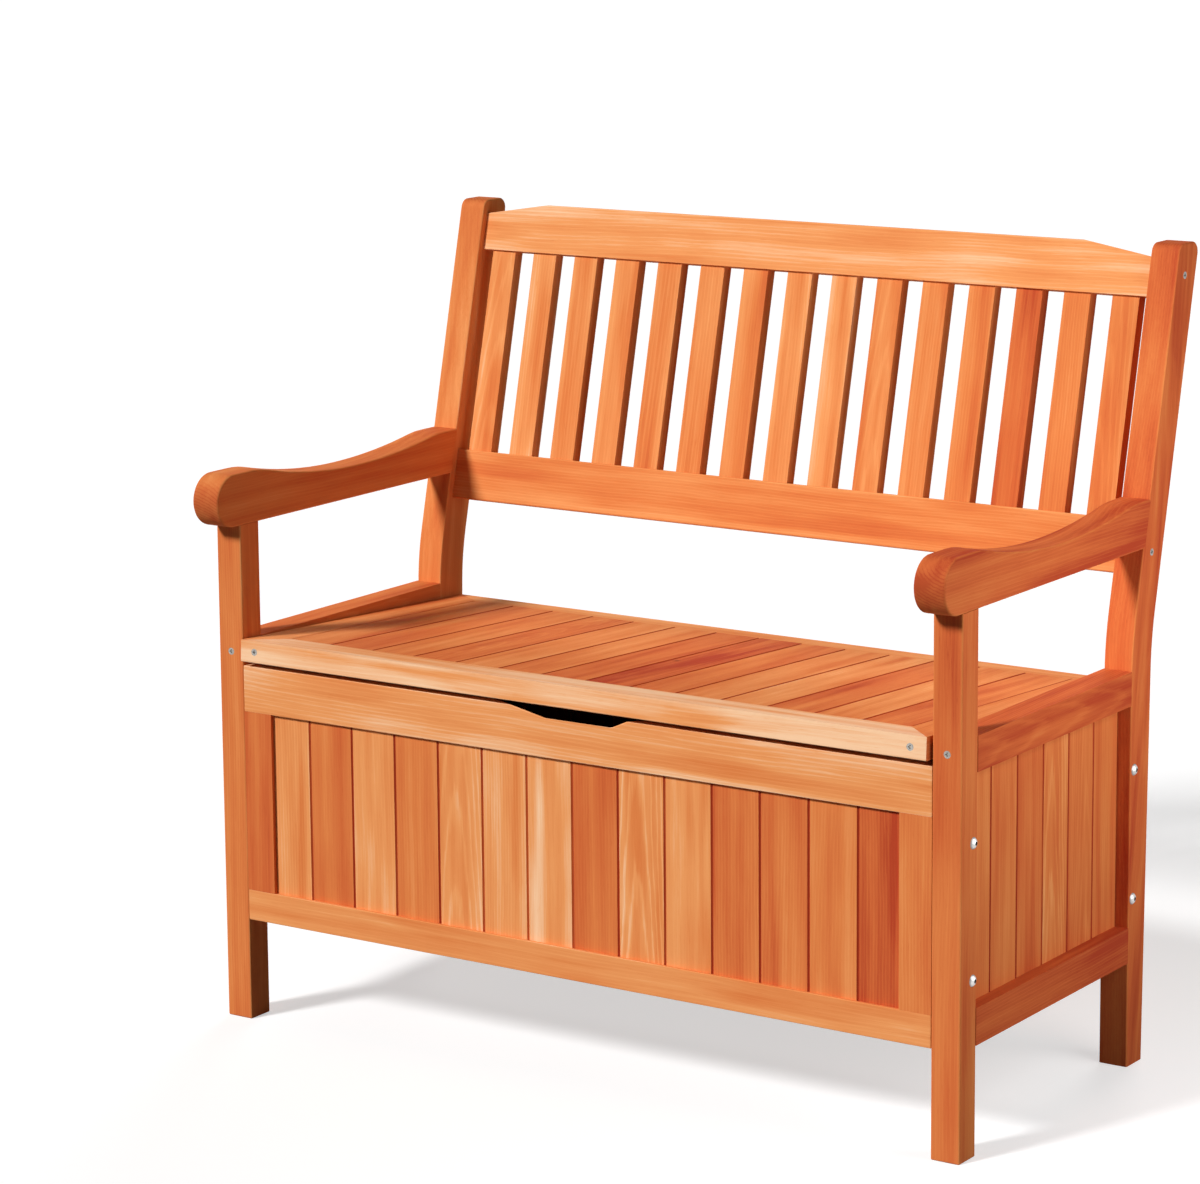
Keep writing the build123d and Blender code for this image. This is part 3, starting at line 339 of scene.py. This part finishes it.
class Shader(Tree):
    """A material with one main surface."""

    def __init__(self, name):
        self.material = bpy.data.materials.new(name)
        self.material.use_nodes = True
        super().__init__(self.material.node_tree)
        self.output = self.add("ShaderNodeOutputMaterial")
        self.surface = self.add("ShaderNodeBsdfPrincipled")
        self.link(self.surface.outputs[0], self.output.inputs["Surface"])

    def set(self, socket, value):
        self.feed(value, self.surface.inputs[socket])

    def stretch(self, vector, scales):
        node = self.add("ShaderNodeVectorMath", operation="MULTIPLY")
        self.link(vector, node.inputs[0])
        node.inputs[1].default_value = scales
        return node.outputs["Vector"]

    def dot(self, a, b):
        node = self.add("ShaderNodeVectorMath", operation="DOT_PRODUCT")
        self.feed(a, node.inputs[0])
        self.feed(b, node.inputs[1])
        return node.outputs["Value"]

    def attribute(self, name):
        return self.add("ShaderNodeAttribute", attribute_name=name).outputs["Vector"]

    def facing(self):
        """Direction of the face in the piece's own frame, so that a moved piece keeps its look."""
        node = self.add(
            "ShaderNodeVectorTransform", vector_type="NORMAL", convert_from="WORLD", convert_to="OBJECT"
        )
        self.link(self.add("ShaderNodeNewGeometry").outputs["Normal"], node.inputs[0])
        return node.outputs[0]

    def split(self, vector):
        node = self.add("ShaderNodeSeparateXYZ")
        self.link(vector, node.inputs[0])
        return node.outputs

    def noise(self, vector, scale, detail=3.0, roughness=0.5):
        node = self.add("ShaderNodeTexNoise")
        self.link(vector, node.inputs["Vector"])
        node.inputs["Scale"].default_value = scale
        node.inputs["Detail"].default_value = detail
        node.inputs["Roughness"].default_value = roughness
        return node.outputs["Fac"]

    def ramp(self, value, stops):
        node = self.add("ShaderNodeValToRGB")
        while len(node.color_ramp.elements) < len(stops):
            node.color_ramp.elements.new(0.5)
        for element, (place, colour) in zip(node.color_ramp.elements, stops):
            element.position = place
            element.color = (*colour, 1) if isinstance(colour, tuple) else (colour, colour, colour, 1)
        self.link(value, node.inputs["Fac"])
        return node.outputs["Color"]

    def mix(self, factor, a, b):
        node = self.add("ShaderNodeMix", data_type="RGBA")
        self.feed(factor, node.inputs["Factor"])
        self.feed(a, node.inputs["A"])
        self.feed(b, node.inputs["B"])
        return node.outputs["Result"]

    def spread(self, value, low, high):
        """Map 0 to 1 onto low to high."""
        node = self.add("ShaderNodeMapRange")
        self.link(value, node.inputs["Value"])
        node.inputs["To Min"].default_value = low
        node.inputs["To Max"].default_value = high
        return node.outputs["Result"]

    def bump(self, height, distance, strength):
        node = self.add("ShaderNodeBump")
        node.inputs["Distance"].default_value = distance
        node.inputs["Strength"].default_value = strength
        self.link(height, node.inputs["Height"])
        return node.outputs["Normal"]


def linear(value):
    """Linear light of one sRGB channel from 0 to 255."""
    c = value / 255
    return c / 12.92 if c <= 0.04045 else ((c + 0.055) / 1.055) ** 2.4


def srgb(r, g, b):
    """Linear colour of an sRGB value from 0 to 255."""
    return (linear(r), linear(g), linear(b))


def grey(value):
    """A neutral colour of one linear value."""
    return (value, value, value, 1)


WOOD_STOPS = [
    (0.0, srgb(250, 204, 162)),
    (0.25, srgb(238, 158, 96)),
    (0.5, srgb(224, 130, 71)),
    (0.75, srgb(209, 104, 56)),
    (1.0, srgb(180, 68, 40)),
]
END_COLOUR = (*srgb(176, 82, 44), 1)
KNOT_COLOUR = (*srgb(112, 48, 28), 1)
# Colour of the painted shade at a bolt head's rim and socket walls
RIM_SHADE_COLOUR = (*srgb(52, 40, 34), 1)
LINING_DARK = srgb(8, 8, 9)
LINING_DUST = srgb(24, 24, 26)


def stained_wood():
    """Orange-stained softwood with pale rings, red streaks, flecks, small knots, dark ends, and grooves
    darkened by stain and painted shade.
    """
    s = Shader("stained_wood")
    grain = s.attribute("grain")
    pith_across, pith_through, pith_lean = s.split(s.attribute("pith"))
    tone, figure, groove = s.split(s.attribute("look"))
    along, across, through = s.split(grain)

    def pattern(scales, *detail):
        """Noise laid along the board."""
        return s.noise(s.stretch(grain, scales), 1.0, *detail)

    def times(a, b):
        return s.math("MULTIPLY", a, b)

    def either_side(value, size):
        """Noise from 0 to 1 as a shift about 0 that spans a size."""
        return times(s.math("SUBTRACT", value, 0.5), size)

    # The face's own direction, to tell ends and worn or grooved edges from flat faces
    facing = s.facing()
    end = s.math("POWER", s.math("ABSOLUTE", s.dot(facing, s.attribute("along"))), END_POWER)
    sideways = s.math("POWER", s.dot(facing, s.attribute("across")), 2.0)
    outwards = s.math("SUBTRACT", s.math("SUBTRACT", 1.0, sideways), end, True)
    corner = s.math("MULTIPLY", times(sideways, outwards), CORNER_GAIN, True)

    # Growth rings: distance from the log's middle, which wanders and leans along the board
    dy = s.math("ADD", s.math("SUBTRACT", across, pith_across), either_side(pattern(*WANDER), WANDER_MM))
    dz = s.math("SUBTRACT", through, pith_through)
    reach = s.math("SQRT", s.math("ADD", times(dy, dy), times(dz, dz)))
    reach = s.math("SUBTRACT", reach, times(along, pith_lean))
    reach = s.math("ADD", reach, either_side(pattern(*RAGGED), RAGGED_MM))
    late = s.ramp(s.math("FRACT", s.math("DIVIDE", reach, RING_MM)), LATE_WOOD_STOPS)

    fibre = pattern(*FIBRE)
    streak = pattern(*STREAK)
    cloud = pattern(*CLOUD)
    blush = s.ramp(pattern(*BLUSH), BLUSH_STOPS)
    fleck = s.ramp(pattern(*FLECK), FLECK_STOPS)

    # Small knots, in few of the cells laid over a board
    cell = s.add("ShaderNodeTexVoronoi", voronoi_dimensions="2D")
    s.link(grain, cell.inputs["Vector"])
    cell.inputs["Scale"].default_value = KNOT_CELLS
    rare = s.math("LESS_THAN", s.split(cell.outputs["Color"])[0], KNOT_SHARE)
    knot = times(rare, s.ramp(cell.outputs["Distance"], KNOT_STOPS))

    # Shade from pale to deep red: the board's tone, then what shifts it
    shade = s.math("ADD", tone, either_side(streak, STREAK_SHIFT))
    shade = s.math("ADD", shade, either_side(cloud, CLOUD_SHIFT))
    shade = s.math("ADD", shade, either_side(fibre, FIBRE_SHIFT))
    shade = s.math("ADD", shade, times(blush, BLUSH_SHIFT))
    shade = s.math("ADD", shade, times(fleck, FLECK_SHIFT))
    rings_shown = times(late, times(figure, RING_SHIFT))
    shade = s.math("SUBTRACT", shade, times(rings_shown, s.math("SUBTRACT", 1.0, end)))
    shade = s.math("ADD", shade, times(times(late, END_RING_SHIFT), end))
    # Grooved boards: the V-groove faces darken, for stain gathered there and painted shade; other boards'
    # edges are a little paler with wear
    edge = s.math("SUBTRACT", times(groove, GROOVE_STAIN_AND_SHADE), WORN_EDGE_SHIFT)
    shade = s.math("ADD", shade, times(corner, edge), True)
    colour = s.mix(times(end, END_TINT), s.ramp(shade, WOOD_STOPS), END_COLOUR)
    s.set("Base Color", s.mix(times(knot, KNOT_TINT), colour, KNOT_COLOUR))

    s.set("Roughness", s.math("ADD", s.spread(fibre, *WOOD_ROUGHNESS), times(end, END_ROUGHNESS)))
    s.set("Specular IOR Level", WOOD_SPECULAR)
    relief = s.math("ADD", times(fibre, FIBRE_RELIEF), times(late, RING_RELIEF))
    s.set("Normal", s.bump(relief, *WOOD_BUMP))
    return s.material


def metal(name, colour, roughness, scale, metallic=1.0, axis=None):
    """Plated or painted metal with fine mottling and scuffs, and painted shade on faces that turn from its
    axis.
    """
    s = Shader(name)
    place = s.add("ShaderNodeTexCoord").outputs["Object"]
    mottle = s.noise(place, scale, *MOTTLE_DETAIL)
    scuff = s.noise(s.stretch(place, SCUFF_STRETCH), scale * SCUFFS_PER_MOTTLE)
    dark = tuple(c * MOTTLE_DARK for c in colour)
    tint = s.ramp(mottle, list(zip(MOTTLE_STOPS, (dark, colour))))
    if axis:
        # Painted shade: faces that turn from the axis, the head's rim and the socket walls, are darkened
        aligned = s.math("ABSOLUTE", s.dot(s.facing(), axis))
        tint = s.mix(s.ramp(aligned, RIM_SHADE_STOPS), tint, RIM_SHADE_COLOUR)
    s.set("Base Color", tint)
    s.set("Roughness", s.spread(scuff, *roughness))
    s.set("Metallic", metallic)
    s.set("Normal", s.bump(scuff, *METAL_BUMP))
    return s.material


def lining():
    """Black woven weather membrane."""
    s = Shader("black_lining")
    place = s.add("ShaderNodeTexCoord").outputs["Object"]
    weave = s.add("ShaderNodeTexChecker")
    s.link(place, weave.inputs["Vector"])
    weave.inputs["Scale"].default_value = WEAVE_SCALE
    dust = s.noise(place, DUST_SCALE, DUST_DETAIL)
    s.set("Base Color", s.ramp(dust, list(zip(DUST_STOPS, (LINING_DARK, LINING_DUST)))))
    s.set("Roughness", s.spread(dust, *LINING_ROUGHNESS))
    s.set("Specular IOR Level", LINING_SPECULAR)
    s.set("Normal", s.bump(weave.outputs["Fac"], *LINING_BUMP))
    return s.material


WOOD = stained_wood()
ZINC = metal("zinc_steel", srgb(186, 186, 184), roughness=(0.40, 0.60), scale=160.0, metallic=0.75)
TUBE = metal("strut_tube", srgb(150, 151, 153), roughness=(0.32, 0.46), scale=90.0, metallic=0.6)
ROD = metal("strut_rod", srgb(226, 227, 229), roughness=(0.08, 0.2), scale=120.0)
SCREW = metal("dulled_steel", srgb(172, 168, 162), roughness=(0.34, 0.55), scale=160.0)
# The axis gives the bolt heads painted shade at their rims and socket walls
BOLT = metal("bolt_steel", srgb(206, 205, 203), roughness=(0.30, 0.45), scale=160.0, axis=(1, 0, 0))
LINING = lining()


def finish_for(name):
    """Material of a CAD node."""
    if name in BOARDS:
        return WOOD
    if name == "lid_lining":
        return LINING
    if name in ("frame_screws", "lid_screws"):
        return SCREW
    if name == "panel_bolts":
        return BOLT
    if name.startswith("strut_cylinder"):
        return TUBE
    if name.startswith("strut_rod"):
        return ROD
    return ZINC


def soften(piece):
    """Round a piece's sharp edges a little and keep its faces flat."""
    piece.data.polygons.foreach_set("use_smooth", [False] * len(piece.data.polygons))
    weld = piece.modifiers.new("weld", "WELD")
    weld.merge_threshold = SAME_PLACE
    soft = piece.modifiers.new("soft_edge", "BEVEL")
    soft.width = BEVEL_WIDTH
    soft.segments = BEVEL_SEGMENTS
    soft.limit_method = "ANGLE"
    soft.angle_limit = BEVEL_FROM


for name, piece in nodes.items():
    piece.data.materials.clear()
    piece.data.materials.append(finish_for(name))
    if name in BOARDS:
        lay_grain(name, *BOARDS[name])
    if name in BEVELLED:
        soften(piece)


def pale_floor():
    """Paper that is near white to the camera, with the bench's shadow, and throws little light back."""
    s = Shader("pale_floor")
    paper = s.add("ShaderNodeBsdfDiffuse")
    paper.inputs["Color"].default_value = grey(PAPER_GREY)
    glow = s.add("ShaderNodeEmission")
    glow.inputs["Color"].default_value = grey(1.0)
    glow.inputs["Strength"].default_value = PAPER_GLOW
    lit_paper = s.add("ShaderNodeAddShader")
    s.link(paper.outputs[0], lit_paper.inputs[0])
    s.link(glow.outputs[0], lit_paper.inputs[1])
    s.set("Base Color", grey(BOUNCE_GREY))
    s.set("Roughness", BOUNCE_ROUGHNESS)
    s.set("Specular IOR Level", BOUNCE_SPECULAR)
    s.link(s.choose(s.looked_at(), s.surface, lit_paper), s.output.inputs["Surface"])
    return s.material


floor_mesh = bpy.data.meshes.new("floor")
floor_corners = [(x * FLOOR_REACH, y * FLOOR_REACH, 0) for x, y in ((-1, -1), (1, -1), (1, 1), (-1, 1))]
floor_mesh.from_pydata(floor_corners, [], [(0, 1, 2, 3)])
floor = bpy.data.objects.new("floor", floor_mesh)
scene.collection.objects.link(floor)
floor.data.materials.append(pale_floor())

# Sky: white to the camera, dim as a light
scene.world = bpy.data.worlds.new("studio")
scene.world.use_nodes = True
sky = Tree(scene.world.node_tree)
sky_out = sky.add("ShaderNodeOutputWorld")
ambient = sky.add("ShaderNodeBackground")
ambient.inputs["Color"].default_value = grey(1.0)
ambient.inputs["Strength"].default_value = AMBIENT
backdrop = sky.add("ShaderNodeBackground")
backdrop.inputs["Color"].default_value = grey(1.0)
sky.link(sky.choose(sky.looked_at(), ambient, backdrop), sky_out.inputs["Surface"])


def hang(name, data, direction):
    """Put a lamp into the scene that shines along a direction."""
    lamp = bpy.data.objects.new(name, data)
    lamp.rotation_mode = "QUATERNION"
    lamp.rotation_quaternion = Vector(direction).to_track_quat("-Z", "Y")
    scene.collection.objects.link(lamp)
    return lamp


def sun(name, direction, strength, spread, glare=True):
    """A broad soft light from far away, its spread in degrees."""
    data = bpy.data.lights.new(name, "SUN")
    data.energy = strength
    data.angle = math.radians(spread)
    lamp = hang(name, data, direction)
    lamp.visible_glossy = glare


def panel(name, place, target, size, power):
    """A square soft box that faces a point."""
    data = bpy.data.lights.new(name, "AREA")
    data.energy = power
    data.size = size
    lamp = hang(name, data, Vector(target) - Vector(place))
    lamp.location = place
    lamp.visible_camera = False


sun("key", direction=(0.33, 0.76, -0.62), strength=3.5, spread=11)
sun("rear", direction=(0.25, -0.93, -0.28), strength=1.6, spread=30, glare=False)
panel("side_fill", place=(1.08, 0.03, 0.60), target=(0.48, 0.03, 0.50), size=0.7, power=4.5)

# Camera at the photograph's place
camera_data = bpy.data.cameras.new("camera")
camera_data.sensor_width = SENSOR_WIDTH
camera_data.lens = FOCAL_PIXELS / PHOTO_WIDTH * SENSOR_WIDTH
camera_data.shift_y = CAMERA_SHIFT
camera_data.clip_end = CAMERA_FAR
camera = bpy.data.objects.new("camera", camera_data)
yaw = math.radians(CAMERA_YAW)
pitch = math.radians(CAMERA_PITCH)
roll = math.radians(CAMERA_ROLL)
ahead = Vector((-math.sin(yaw) * math.cos(pitch), math.cos(yaw) * math.cos(pitch), -math.sin(pitch)))
level = Vector((math.cos(yaw), math.sin(yaw), 0))
above = level.cross(ahead)
right = level * math.cos(roll) + above * math.sin(roll)
up = above * math.cos(roll) - level * math.sin(roll)
turned = Matrix((right, up, -ahead)).transposed().to_4x4()
camera.matrix_world = Matrix.Translation(CAMERA_PLACE) @ turned
scene.collection.objects.link(camera)
scene.camera = camera

scene.view_settings.view_transform = "Standard"
